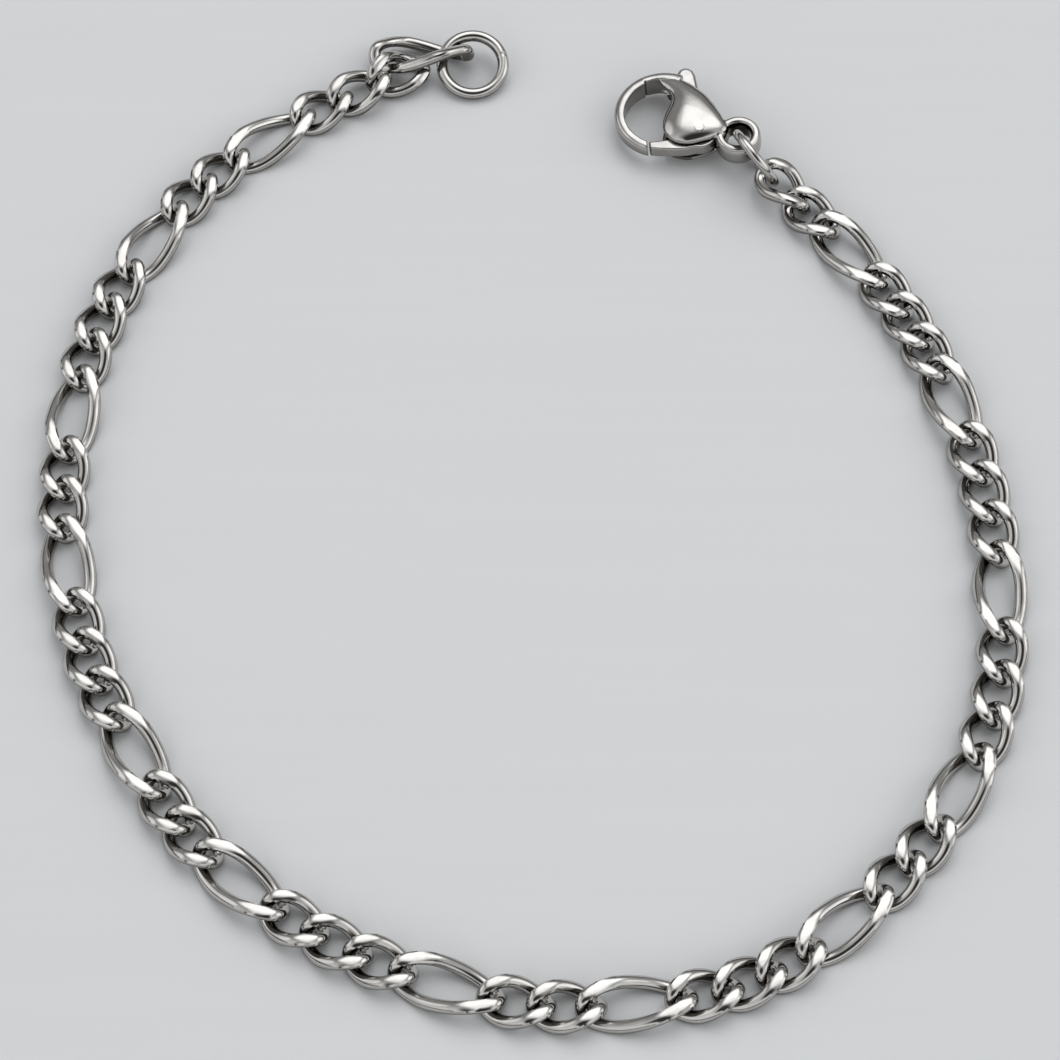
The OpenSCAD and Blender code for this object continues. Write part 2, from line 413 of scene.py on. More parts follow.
@dataclass(frozen=True)
class Steel:
    """Polished stainless steel, as worn as the piece that it dresses.

    Attributes:
        name: Name of the material.
        tone: Colour of the clean metal.
        shade: Colour where it is a little duller.
        roughness: Lowest roughness.
        spread: Roughness that the wear adds.
        cloud: Dull patches in a metre.
        hairline: Hairlines in a metre.
        depth: Strength of the hairlines' relief.
        relief: Height of that relief, in metres.
    """

    name: str
    tone: Colour
    shade: Colour
    roughness: float = 0.1
    spread: float = 0.12
    cloud: float = 900.0
    hairline: float = 9000.0
    depth: float = 0.05
    relief: float = 0.00002

    def material(self) -> bpy.types.Material:
        """Builds the finish once and hands it out.

        Returns:
            The material, for a piece's slot.
        """
        found = bpy.data.materials.get(self.name)
        if found:
            return found
        made = bpy.data.materials.new(self.name)
        made.use_nodes = True
        wiring = Wiring(made.node_tree)
        wear = wiring.node("ShaderNodeGroup", node_tree=PolishGroup.tree())
        for name, value in (
            ("Tone", (*self.tone, 1.0)),
            ("Shade", (*self.shade, 1.0)),
            ("Roughness", self.roughness),
            ("Spread", self.spread),
            ("Cloud", self.cloud),
            ("Hairline", self.hairline),
        ):
            wear.inputs[name].default_value = value
        relief = wiring.node("ShaderNodeBump", {
            "Strength": self.depth, "Distance": self.relief, "Height": wear.outputs["Height"],
        })
        metal = made.node_tree.nodes["Principled BSDF"].inputs
        wiring.feed(metal["Metallic"], 1.0)
        wiring.feed(metal["Base Color"], wear.outputs["Color"])
        wiring.feed(metal["Roughness"], wear.outputs["Roughness"])
        wiring.feed(metal["Normal"], relief.outputs["Normal"])
        return made

    def dress(self, piece: bpy.types.Object) -> None:
        """Gives a piece this finish all over.

        Args:
            piece: The object to dress.
        """
        piece.data.materials.clear()
        piece.data.materials.append(self.material())


LINK_STEEL = Steel("link_steel", (0.612, 0.597, 0.574), (0.532, 0.518, 0.497), 0.08, 0.12)
RING_STEEL = Steel("ring_steel", (0.612, 0.597, 0.576), (0.532, 0.518, 0.499), 0.08, 0.12)
CLASP_STEEL = Steel("clasp_steel", (0.548, 0.535, 0.516), (0.468, 0.456, 0.438), 0.07, 0.12)
LEVER_STEEL = Steel("lever_steel", (0.548, 0.535, 0.516), (0.458, 0.446, 0.429), 0.14, 0.16)


@dataclass(frozen=True)
class Seat:
    """Where one link of the chain lies.

    Attributes:
        place: Turn and middle of the link, in metres.
        long: True for a long link.
    """

    place: Matrix
    long: bool


@dataclass
class Link:
    """One curb link: an oval of round wire, twisted out of flat, with its flats polished off.

    Attributes:
        hole_l: Length of the hole, in millimetres.
        hole_w: Width of the hole.
        square: Squareness of the oval.
        wire: Thickness of the wire.
        twist: Turn of each end, in degrees.
        top: Height of the upper flats over the link's middle plane.
        foot: Depth of the lower flats, which the link lies on.
        edge: Sharpness of the flats' edges, per millimetre.
        steps: Rings of the wire.
        round: Steps of a quarter of the wire's round, less one.
    """

    hole_l: float
    hole_w: float
    square: float
    wire: float = 0.88
    twist: float = 51.0
    top: float = 0.9
    foot: float = 0.77
    edge: float = 11.0
    steps: int = 72
    round: int = 6

    def centre(self, angle: float) -> Vector:
        """Point of the wire's middle line.

        Args:
            angle: Angle round the oval, in radians.

        Returns:
            The point, in millimetres.
        """
        power = 2 / self.square
        x = math.copysign(abs(math.cos(angle)) ** power, math.cos(angle))
        y = math.copysign(abs(math.sin(angle)) ** power, math.sin(angle))
        half_l, half_w = (self.hole_l + self.wire) / 2, (self.hole_w + self.wire) / 2
        turn = -math.radians(self.twist) * x
        return Vector((half_l * x, half_w * y * math.cos(turn), half_w * y * math.sin(turn)))

    def build(self, name: str) -> bpy.types.Object:
        """Bends, sweeps and polishes the link.

        Args:
            name: Name of the object.

        Returns:
            The link at the origin, in millimetres.
        """
        Bench.clear()
        bpy.ops.mesh.primitive_circle_add(vertices=self.steps, radius=1)
        link = bpy.context.object
        link.name = name
        for step, vertex in enumerate(link.data.vertices):
            vertex.co = self.centre(2 * math.pi * step / self.steps)
        bpy.ops.object.convert(target="CURVE")
        link = bpy.context.object
        link.data.bevel_depth = self.wire / 2
        link.data.bevel_resolution = self.round
        bpy.ops.object.convert(target="MESH")
        link = bpy.context.object
        Bench.edit(link)
        bpy.ops.mesh.select_all(action="SELECT")
        bpy.ops.mesh.remove_doubles(threshold=WELD)
        Bench.outward()
        Bench.done()
        for vertex in link.data.vertices:
            up = vertex.co.z
            vertex.co.z = self.pressed(up, self.top) if up > 0 else -self.pressed(-up, self.foot)
        return link

    def pressed(self, height: float, flat: float) -> float:
        """Height of a point after a flat is pressed and polished, with soft edges.

        Args:
            height: Height of the round wire there, from the link's middle plane.
            flat: Height of the flat.

        Returns:
            The height after pressing.
        """
        return height - math.log1p(math.exp(self.edge * (height - flat))) / self.edge


@dataclass
class Chain:
    """The fifty loose links, where the frame's chain lies.

    Attributes:
        short: The short link.
        long: The long link.
        split: Length of a link's points that tells a long one, in metres.
        crease: Sharpest smooth edge of a link, in degrees.
        finish: Steel of the links.
    """

    short: Link = field(default_factory=lambda: Link(3.388, 1.7776, 2.2))
    long: Link = field(default_factory=lambda: Link(6.028, 1.936, 2.5))
    split: float = 0.0065
    crease: float = 24.0
    finish: Steel = LINK_STEEL

    def seats(self, node: bpy.types.Object) -> list[Seat]:
        """Finds each link's place from the spread of its points in the frame's chain.

        Args:
            node: The frame's chain.

        Returns:
            One seat for each link.
        """
        shape = bmesh.new()
        shape.from_mesh(node.data)
        bmesh.ops.remove_doubles(shape, verts=shape.verts, dist=WELD * MM)
        shape.verts.ensure_lookup_table()
        seen: set[int] = set()
        found: list[Seat] = []
        for start in shape.verts:
            if start.index in seen:
                continue
            seen.add(start.index)
            edge, island = [start], []
            while edge:
                vertex = edge.pop()
                island.append(vertex.co.copy())
                for bond in vertex.link_edges:
                    other = bond.other_vert(vertex)
                    if other.index not in seen:
                        seen.add(other.index)
                        edge.append(other)
            found.append(self.seat(np.array(island)))
        shape.free()
        return found

    def seat(self, points: np.ndarray) -> Seat:
        """Works out one link's turn and middle.

        Args:
            points: The link's points, in metres.

        Returns:
            The link's seat.
        """
        middle = points.mean(axis=0)
        _, axes = np.linalg.eigh(np.cov((points - middle).T))
        along, across = Vector(axes[:, 2]), Vector(axes[:, 1])
        up = along.cross(across)
        if up.z < 0:
            across, up = -across, -up
        length = float(np.ptp((points - middle) @ axes[:, 2]))
        turn = Matrix((along, across, up)).transposed().to_4x4()
        return Seat(Matrix.Translation(Vector(middle)) @ turn, length > self.split)

    def build(self, node: bpy.types.Object) -> bpy.types.Object:
        """Copies the two links to their places and joins them.

        Args:
            node: The frame's chain, whose places the links take.

        Returns:
            The chain.
        """
        models = {False: self.short.build("short_link"), True: self.long.build("long_link")}
        links = []
        for number, seat in enumerate(self.seats(node)):
            copy = models[seat.long].copy()
            copy.data = models[seat.long].data.copy()
            copy.name = f"link_{number:02d}"
            bpy.context.collection.objects.link(copy)
            Bench.seat(copy, seat.place)
            links.append(copy)
        for model in models.values():
            bpy.data.objects.remove(model)
        chain = Bench.join(links, "chain_links")
        # Paints shade on the links' sides that turn away from up
        CHAIN_SIDE_SHADE.mark(chain)
        Bench.smooth(chain, self.crease)
        self.finish.dress(chain)
        return chain


@dataclass
class WireRing:
    """Round ring of wire, closed by a small joint.

    Attributes:
        name: Name of the piece.
        node: Node of the frame that it stands for.
        outer: Outer diameter, in millimetres.
        wire: Thickness of the wire.
        side: Way that the raised side faces, in degrees.
        tilt: Lean from the surface, in degrees.
        joint: Angle round the ring where its ends meet, in degrees.
        waist: Thickness of the wire at its joint, as a share.
        waist_reach: Half of the joint's width, in steps of the ring.
        steps: Steps round the ring.
        round: Steps round its wire.
        finish: Steel of the ring.
    """

    name: str
    node: str
    outer: float
    wire: float
    side: float
    tilt: float
    joint: float
    waist: float = 0.955
    waist_reach: float = 0.6
    steps: int = 120
    round: int = 24
    finish: Steel = RING_STEEL

    def build(self) -> bpy.types.Object:
        """Shapes the ring and its joint.

        Returns:
            The ring in place.
        """
        Bench.clear()
        radius = (self.outer - self.wire) / 2
        bpy.ops.mesh.primitive_torus_add(
            major_segments=self.steps, minor_segments=self.round,
            major_radius=radius, minor_radius=self.wire / 2,
        )
        ring = bpy.context.object
        ring.name = self.name
        at = math.radians(self.joint)
        out = Vector((math.cos(at), math.sin(at), 0))
        along = Vector((-math.sin(at), math.cos(at), 0))
        near = 2 * math.pi * radius / self.steps * self.waist_reach
        Bench.edit(ring)
        Bench.pick(ring, lambda spot: spot.dot(out) > 0 and abs(spot.dot(along)) < near)
        bpy.ops.transform.resize(value=(self.waist,) * 3, center_override=radius * out)
        Bench.done()
        low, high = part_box(self.node)
        place = (
            Matrix.Translation((Vector(low) + Vector(high)) / 2)
            @ Matrix.Rotation(math.radians(self.side), 4, "Z")
            @ Matrix.Rotation(-math.radians(self.tilt), 4, "Y")
        )
        Bench.seat(ring, place)
        # Paints shade on the ring's sides that turn away from up
        RING_SIDE_SHADE.mark(ring)
        Bench.smooth(ring, 40)
        self.finish.dress(ring)
        return ring


@dataclass(frozen=True)
class Rib:
    """Where the clasp's outline is, and which point of the ridge it faces.

    Attributes:
        x: Place on the outline from the pin towards the eye, in millimetres.
        y: Place from the pin towards the thumb tab.
        ridge_x: The ridge's point, the same way.
        ridge_y: The ridge's point, the same way.
    """

    x: float
    y: float
    ridge_x: float
    ridge_y: float


@dataclass
class Pillow:
    """Domed lid over an outline, as full as a blown-up cushion.

    Attributes:
        ribs: The outline, in order.
        base: Height of its flat underside, in millimetres.
        rim: Height where its side turns into the dome.
        fullness: Rise of the dome for each millimetre of the outline's half width.
        heart: Point that the dome's rings close on.
        near: Share of the way out where the rings leave the heart for the ridge.
        cell: Cell of the grid that the dome is worked out on.
        corner: First corner of that grid.
        blown: Square of the dome's rise for a fullness of one, on the grid.
    """

    # Points of the outline, and rounds of the blowing
    EDGE_POINTS = 240
    ROUNDS = 4000
    # Steps of the ball that the lid is shaped from, and the height on it that still counts as level
    SEGMENTS, RINGS = 128, 48
    LEVEL = 0.001
    # Steepness of the lid's side
    SIDE = 16

    ribs: tuple[Rib, ...]
    base: float
    rim: float
    fullness: float
    heart: Point2 = (-1.0, 1.0)
    near: float = 0.45
    cell: float = 0.06
    corner: np.ndarray = field(init=False)
    blown: np.ndarray = field(init=False)

    def __post_init__(self) -> None:
        """Blows the dome up: the height's square has the same curvature everywhere."""
        edge = np.array([self.rib(share)[:2] for share in np.arange(0, 1, 1 / self.EDGE_POINTS)])
        self.corner = edge.min(axis=0) - 3 * self.cell
        count = np.ceil((edge.max(axis=0) - self.corner) / self.cell).astype(int) + 4
        x, y = np.meshgrid(
            *(self.corner[k] + self.cell * np.arange(count[k]) for k in (0, 1)), indexing="ij",
        )
        inside = np.zeros(x.shape, dtype=bool)
        for (x0, y0), (x1, y1) in zip(edge, np.roll(edge, -1, axis=0)):
            crosses = (y0 > y) != (y1 > y)
            inside ^= crosses & (x < x0 + (y - y0) * (x1 - x0) / (y1 - y0 if y1 != y0 else 1.0))
        self.blown = np.zeros(x.shape)
        for _ in range(self.ROUNDS):
            around = sum(np.roll(self.blown, shift, axis) for shift in (1, -1) for axis in (0, 1))
            self.blown = np.where(inside, around / 4 + self.cell ** 2, 0.0)

    def rib(self, share: float) -> np.ndarray:
        """Smooth outline and ridge at a share of the way round.

        Args:
            share: From 0 to 1.

        Returns:
            The outline's point and the ridge's point.
        """
        count = len(self.ribs)
        at = (share % 1) * count
        number, t = int(at), at - int(at)
        before, near, far, after = (
            np.array(astuple(self.ribs[(number + k) % count])) for k in (-1, 0, 1, 2)
        )
        square = 2 * before - 5 * near + 4 * far - after
        cube = 3 * near - before - 3 * far + after
        return (2 * near + (far - before) * t + square * t ** 2 + cube * t ** 3) / 2

    def height(self, x: float, y: float) -> float:
        """Height of the dome over a point.

        Args:
            x: The point, in millimetres.
            y: The point, the same way.

        Returns:
            Its height.
        """
        at = (np.array((x, y)) - self.corner) / self.cell
        i, j = (int(v) for v in np.clip(np.floor(at), 0, np.array(self.blown.shape) - 2))
        u, v = at[0] - i, at[1] - j
        grid = self.blown
        value = (
            grid[i, j] * (1 - u) * (1 - v) + grid[i + 1, j] * u * (1 - v)
            + grid[i, j + 1] * (1 - u) * v + grid[i + 1, j + 1] * u * v
        )
        return self.rim + self.fullness * math.sqrt(max(value, 0.0))

    def build(self, side: Side) -> bpy.types.Object:
        """Shapes the lid from a ball.

        Args:
            side: Which cheek it is.

        Returns:
            The closed lid.
        """
        Bench.clear()
        bpy.ops.mesh.primitive_uv_sphere_add(
            segments=self.SEGMENTS, ring_count=self.RINGS, radius=1,
        )
        lid = bpy.context.object
        lid.name = f"cheek_{side.name.lower()}"
        for vertex in lid.data.vertices:
            out = math.hypot(vertex.co.x, vertex.co.y)
            spot = self.rib(math.atan2(vertex.co.y, vertex.co.x) / (2 * math.pi))
            outline, ridge, heart = spot[:2], spot[2:], np.array(self.heart)
            leave = eased(min(1.0, out / self.near))
            place = Vector((*(heart + (ridge - heart) * leave + (outline - ridge) * out), 0))
            if vertex.co.z > -self.LEVEL:
                rise = self.height(place.x, place.y)
            else:
                rise = self.rim + (self.base - self.rim) * min(1.0, -vertex.co.z * self.SIDE)
            vertex.co = Vector((place.x, place.y, side.value * rise))
        Bench.edit(lid)
        Bench.outward()
        Bench.done()
        return lid


CHEEK_RIBS = (
    Rib(-4.1, 3.78, -3.6, 3.72),
    Rib(-3.9, 3.41, -3.45, 3.6),
    Rib(-3.42, 3.05, -3.1, 3.42),
    Rib(-2.99, 2.68, -2.5, 3.0),
    Rib(-2.74, 2.05, -1.8, 2.3),
    Rib(-2.74, 1.28, -1.3, 1.55),
    Rib(-2.8, 0.45, -1.1, 0.9),
    Rib(-2.62, -0.35, -1.0, 0.5),
    Rib(-2.18, -0.93, -0.9, 0.35),
    Rib(-1.48, -1.28, -0.85, 0.3),
    Rib(-0.6, -1.27, -0.6, 0.35),
    Rib(0.2, -0.9, -0.3, 0.4),
    Rib(0.85, -0.48, 0.3, 0.5),
    Rib(1.32, -0.1, 0.8, 0.6),
    Rib(1.72, 0.25, 1.1, 0.68),
    Rib(1.86, 0.75, 1.25, 0.75),
    Rib(1.6, 1.22, 0.95, 0.8),
    Rib(1.22, 1.68, 0.5, 0.9),
    Rib(0.76, 2.17, 0.0, 1.2),
    Rib(0.25, 2.65, -0.4, 1.6),
    Rib(-0.5, 3.25, -0.95, 2.1),
    Rib(-1.4, 3.72, -1.7, 2.75),
    Rib(-2.44, 4.08, -2.6, 3.3),
    Rib(-3.35, 4.14, -3.3, 3.6),
)


def under(rib: Rib) -> Rib:
    """Rib of the lower cheek, which has no beak and reaches further out under the gate.

    Args:
        rib: The upper cheek's rib.

    Returns:
        The lower cheek's.
    """
    beak_x, beak_y, gate_y, gate_width, reach = -2.9, 3.72, 0.6, 1.4, 0.3
    if rib.x < beak_x:
        return replace(rib, y=max(rib.y, beak_y))
    return replace(rib, y=rib.y - reach * min(1.0, max(0.0, (gate_y - rib.y) / gate_width)))


# The hook's section: place across its wall from inside to outside, and share of its half height
HOOK_SECTION = (
    (-0.5, -0.92), (-0.5, -0.46), (-0.5, 0.0), (-0.5, 0.46), (-0.5, 0.92), (-0.45, 0.985),
    (-0.28, 1.0), (-0.02, 0.98), (0.2, 0.92), (0.37, 0.78), (0.47, 0.55), (0.5, 0.27),
    (0.5, -0.27), (0.47, -0.55), (0.37, -0.78), (0.2, -0.92), (-0.02, -0.98), (-0.28, -1.0),
    (-0.45, -0.985),
)


@dataclass(frozen=True)
class ShadePaint:
    """Where shade is painted on the clasp, in millimetres: the eye's hole, the slot, the fold's
    groove and the hook's end.

    Attributes:
        hole: Reach of the painted shade of the eye's hole out over its wall.
        hole_edge: Width and height over which that fades.
        slot: Half of the slot's height, with the painted shade over its edges.
        slot_edge: Height over which that fades.
        slot_wall: Outer wall of the hook that the slot leaves clear.
        slot_from: Place where the slot starts outside the hook, towards the eye.
        collar: Distance from the eye's middle that the slot leaves clear.
        groove: Half of the width of the fold's groove, in degrees.
        groove_wall: Outer wall of the hook that the groove leaves clear.
        groove_level: Darkness of the painted shade in the groove.
        mouth_side: Side of the pin where the hook ends.
        mouth_wall: Wall of the hook there, with some room.
        mouth_inner: Inner radius of the hook there.
        mouth_reach: Distance from the pin that the painted shade of its end reaches on the inner
            wall.
        mouth_slant: How much further it reaches for each millimetre of the wall.
        gate_reach: Distance from the pin where the painted shade of the gate's end starts.
        mouth_level: Darkness of the painted shade at both ends.
    """

    hole: float = 0.24
    hole_edge: float = 0.15
    slot: float = 0.66
    slot_edge: float = 0.08
    slot_wall: float = 1.2
    slot_from: float = -1.6
    collar: float = 1.75
    groove: float = 1.1
    groove_wall: float = 0.6
    groove_level: float = 0.9
    mouth_side: float = -1.4
    mouth_wall: float = 0.8
    mouth_inner: float = 2.82
    mouth_reach: float = 3.82
    mouth_slant: float = 0.16
    gate_reach: float = 3.62
    mouth_level: float = 0.85


# Places and strength of the painted shade on the clasp and lever
SHADE_PAINT = ShadePaint()


@dataclass
class LobsterClasp:
    """The clasp's casting: two domed cheeks, hook, neck and eye.

    Attributes:
        heading: Way from the pin to the eye, in degrees.
        slope: Rise of that way, in degrees.
        upper: The domed lid of the upper cheek and its horn.
        lower: The lower cheek's lid.
        eye_at: Middle of the eye.
        eye_radius: Radius of the eye's collar, to the middle of its wall.
        eye_wall: Half of the wall of the eye.
        eye_tall: Half of the height of the eye.
        eye_square: Squareness of the collar's section.
        hook_at: Middle of the hook's arc.
        hook_from: Angle where the hook's arc starts, in degrees.
        hook_to: Angle where it ends, on the inside.
        hook_slant: How much further it reaches on the outside, round the gate's tip.
        hook_out: Outer radius of the hook.
        hook_wall: Wall of the hook at its root and at its end.
        hook_tall: Half of the hook's height at its root and at its end.
        fold: Angle up to which the horn's fold lines the hook, in degrees.
        fold_step: How much thinner the hook's wall is there.
        seam: Depth of the groove where the fold ends.
        seam_half: Half of that groove's width, in degrees.
        thinning: How early the hook thins on its way, below 1 for early.
        mouth: How late its slant starts.
        neck_at: Middle of the metal between the cheeks at the neck.
        neck_size: Size of that metal.
        neck_edge: Rounding of its edges.
        saddle_ring: Distance from the eye's middle where the cheeks meet its collar.
        saddle_half: Half of the width that is rounded there.
        saddle_end: Place where that rounding ends, towards the eye.
        saddle_fade: Length over which it ends.
        saddle_rounds: How often its points are evened out.
        rounds: How often the points of the whole casting are evened out.
        crease: Sharpest smooth edge, in degrees.
        finish: Steel of the casting.
    """

    heading: float = -18.3
    slope: float = 5.0
    upper: Pillow = field(default_factory=lambda: Pillow(CHEEK_RIBS, 0.555, 0.7, 0.34))
    lower: Pillow = field(
        default_factory=lambda: Pillow(tuple(under(rib) for rib in CHEEK_RIBS), 0.555, 0.75, 0.32),
    )
    eye_at: Point2 = (2.74, 0.5)
    eye_radius: float = 1.29
    eye_wall: float = 0.37
    eye_tall: float = 0.84
    eye_square: float = 3.0
    hook_at: Point2 = (-3.154, 1.199)
    hook_from: float = 80.0
    hook_to: float = 264.5
    hook_slant: float = 5.5
    hook_out: float = 3.48
    hook_wall: Point2 = (0.95, 0.66)
    hook_tall: Point2 = (1.02, 0.58)
    fold: float = 133.0
    fold_step: float = 0.1
    seam: float = 0.18
    seam_half: float = 1.2
    thinning: float = 0.8
    mouth: int = 12
    neck_at: Point3 = (1.55, 0.55, 0.0)
    neck_size: Point3 = (0.8, 1.5, 1.5)
    neck_edge: float = 0.25
    saddle_ring: float = 1.45
    saddle_half: float = 0.55
    saddle_end: float = 2.1
    saddle_fade: float = 0.4
    saddle_rounds: int = 40
    rounds: int = 6
    crease: float = 60.0
    finish: Steel = CLASP_STEEL

    # Steps of the hook's sweep, and of the collar's two rounds
    HOOK_STEPS = 184
    COLLAR_STEPS, COLLAR_ROUND = 96, 32

    def place(self) -> Matrix:
        """Turn and place of the clasp, from the pin in the frame.

        Returns:
            The matrix from the clasp's own axes to the model's, in metres.
        """
        low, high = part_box("pivot_pin")
        return (
            Matrix.Translation((Vector(low) + Vector(high)) / 2)
            @ Matrix.Rotation(math.radians(self.heading), 4, "Z")
            @ Matrix.Rotation(-math.radians(self.slope), 4, "Y")
        )

    def hook(self) -> bpy.types.Object:
        """The hook: an upright inner wall and a rounded outside, thinner towards its end.

        Returns:
            The closed band.
        """
        Bench.clear()
        bpy.ops.mesh.primitive_circle_add(vertices=len(HOOK_SECTION), radius=1)
        band = bpy.context.object
        band.name = "hook"
        for vertex, (across, up) in zip(band.data.vertices, HOOK_SECTION):
            vertex.co = Vector((self.hook_out + across, 0, up))
        sweep = math.radians(self.hook_to - self.hook_from)
        Bench.edit(band)
        bpy.ops.mesh.select_all(action="SELECT")
        bpy.ops.mesh.spin(steps=self.HOOK_STEPS, angle=-sweep, center=(0, 0, 0), axis=(0, 0, 1))
        bpy.ops.mesh.select_all(action="SELECT")
        bpy.ops.mesh.fill_holes(sides=0)
        Bench.outward()
        Bench.done()
        for vertex in band.data.vertices:
            turn = math.atan2(vertex.co.y, vertex.co.x)
            # The first section may lie a hair below nought, the last ones lie far below it
            turn += 2 * math.pi if turn < -0.1 else 0.0
            share = min(1.0, max(0.0, turn / sweep))
            across = math.hypot(vertex.co.x, vertex.co.y) - self.hook_out
            vertex.co = self.tapered(share, across, vertex.co.z)
        return band

    def tapered(self, share: float, across: float, up: float) -> Vector:
        """Place of a point of the hook after it is thinned towards its end.

        Args:
            share: Share of the way along the hook.
            across: Place across its wall, from -0.5 inside to 0.5 outside.
            up: Height in shares of half of its own.

        Returns:
            The point, in millimetres.
        """
        angle = self.hook_from + share * (self.hook_to - self.hook_from)
        angle += self.hook_slant * (across + 0.5) * share ** self.mouth
        wall, tall = (
            first + (last - first) * share ** self.thinning
            for first, last in (self.hook_wall, self.hook_tall)
        )
        if across < 0:
            if abs(angle - self.fold) < self.seam_half:
                wall -= self.seam
            elif angle < self.fold:
                wall -= self.fold_step
        radius = self.hook_out + (across - 0.5) * wall
        angle = math.radians(angle)
        x, y = self.hook_at
        return Vector((x + radius * math.cos(angle), y + radius * math.sin(angle), up * tall))

    def eye(self) -> bpy.types.Object:
        """The eye: a tall round collar with soft shoulders.

        Returns:
            The closed collar.
        """
        Bench.clear()
        bpy.ops.mesh.primitive_torus_add(
            major_segments=self.COLLAR_STEPS, minor_segments=self.COLLAR_ROUND,
            major_radius=self.eye_radius, minor_radius=self.eye_wall,
        )
        collar = bpy.context.object
        collar.name = "eye"
        power = 2 / self.eye_square
        for vertex in collar.data.vertices:
            way = Vector((vertex.co.x, vertex.co.y, 0)).normalized()
            across, up = math.hypot(vertex.co.x, vertex.co.y) - self.eye_radius, vertex.co.z
            across = math.copysign(abs(across / self.eye_wall) ** power, across) * self.eye_wall
            up = math.copysign(abs(up / self.eye_wall) ** power, up) * self.eye_tall
            vertex.co = way * (self.eye_radius + across) + Vector((*self.eye_at, up))
        return collar

    def neck(self) -> bpy.types.Object:
        """The metal between the two cheeks at the neck.

        Returns:
            The closed block.
        """
        Bench.clear()
        bpy.ops.mesh.primitive_cube_add(size=1, location=self.neck_at)
        neck = bpy.context.object
        neck.name = "neck"
        neck.scale = self.neck_size
        bpy.ops.object.transform_apply(location=True, rotation=True, scale=True)
        Bench.finish(neck, "BEVEL", width=self.neck_edge, segments=4)
        return neck

    def ease(self, casting: bpy.types.Object) -> None:
        """Rounds the saddle between the domes and the eye more than the rest.

        Args:
            casting: The casting, in millimetres.
        """
        saddle = casting.vertex_groups.new(name="saddle")
        for vertex in casting.data.vertices:
            x, y, _ = vertex.co
            ring = math.hypot(x - self.eye_at[0], y - self.eye_at[1])
            off = abs(ring - self.saddle_ring) / self.saddle_half
            near = min(1.0, 1 - off, (self.saddle_end - x) / self.saddle_fade)
            if near > 0:
                saddle.add([vertex.index], near, "REPLACE")
        rounds = self.saddle_rounds
        Bench.finish(casting, "SMOOTH", factor=0.5, iterations=rounds, vertex_group=saddle.name)
        casting.vertex_groups.clear()

    def painted_shade(self, spot: Vector) -> float:
        """Painted shade of a point: in the eye's hole, the slot, the fold's groove or the hook's
        end.

        Args:
            spot: The point, in millimetres.

        Returns:
            Its darkness, from 0 to 1.
        """
        x, y, z = spot
        ring = math.hypot(x - self.eye_at[0], y - self.eye_at[1])
        arc = math.hypot(x - self.hook_at[0], y - self.hook_at[1])
        turn = math.degrees(math.atan2(y - self.hook_at[1], x - self.hook_at[0]))
        hole = self.eye_radius - self.eye_wall + SHADE_PAINT.hole
        inside = min(1.0, max(0.0, (self.eye_tall - abs(z)) / SHADE_PAINT.hole_edge))
        marks = [0.0, (hole - ring) / SHADE_PAINT.hole_edge * inside]
        in_hook = arc < self.hook_out - SHADE_PAINT.slot_wall
        if in_hook or x > SHADE_PAINT.slot_from and ring > SHADE_PAINT.collar:
            marks.append((SHADE_PAINT.slot - abs(z)) / SHADE_PAINT.slot_edge)
        if abs(turn - self.fold) < SHADE_PAINT.groove and arc < self.hook_out - SHADE_PAINT.groove_wall:
            marks.append(SHADE_PAINT.groove_level)
        reach = math.hypot(x, y) - SHADE_PAINT.mouth_slant * (arc - SHADE_PAINT.mouth_inner)
        at_mouth = y < SHADE_PAINT.mouth_side and arc > self.hook_out - SHADE_PAINT.mouth_wall
        if at_mouth and reach < SHADE_PAINT.mouth_reach:
            marks.append(SHADE_PAINT.mouth_level)
        return min(1.0, max(marks))

    def build(self) -> bpy.types.Object:
        """Casts the clasp in one: fuses its parts and rounds their meeting lines.

        Returns:
            The casting in place.
        """
        cheeks = [self.upper.build(Side.UPPER), self.lower.build(Side.LOWER)]
        casting = Bench.join([self.hook(), self.eye(), self.neck(), *cheeks], "clasp_shell")
        Bench.fuse(casting, self.rounds)
        self.ease(casting)
        # Paints shade into the eye's hole, the slot, the groove and the hook's end
        PolishGroup.mark(casting, self.painted_shade)
        Bench.seat(casting, self.place())
        # Paints shade on the casting's sides that turn away from up
        CLASP_SIDE_SHADE.mark(casting)
        Bench.smooth(casting, self.crease)
        self.finish.dress(casting)
        return casting


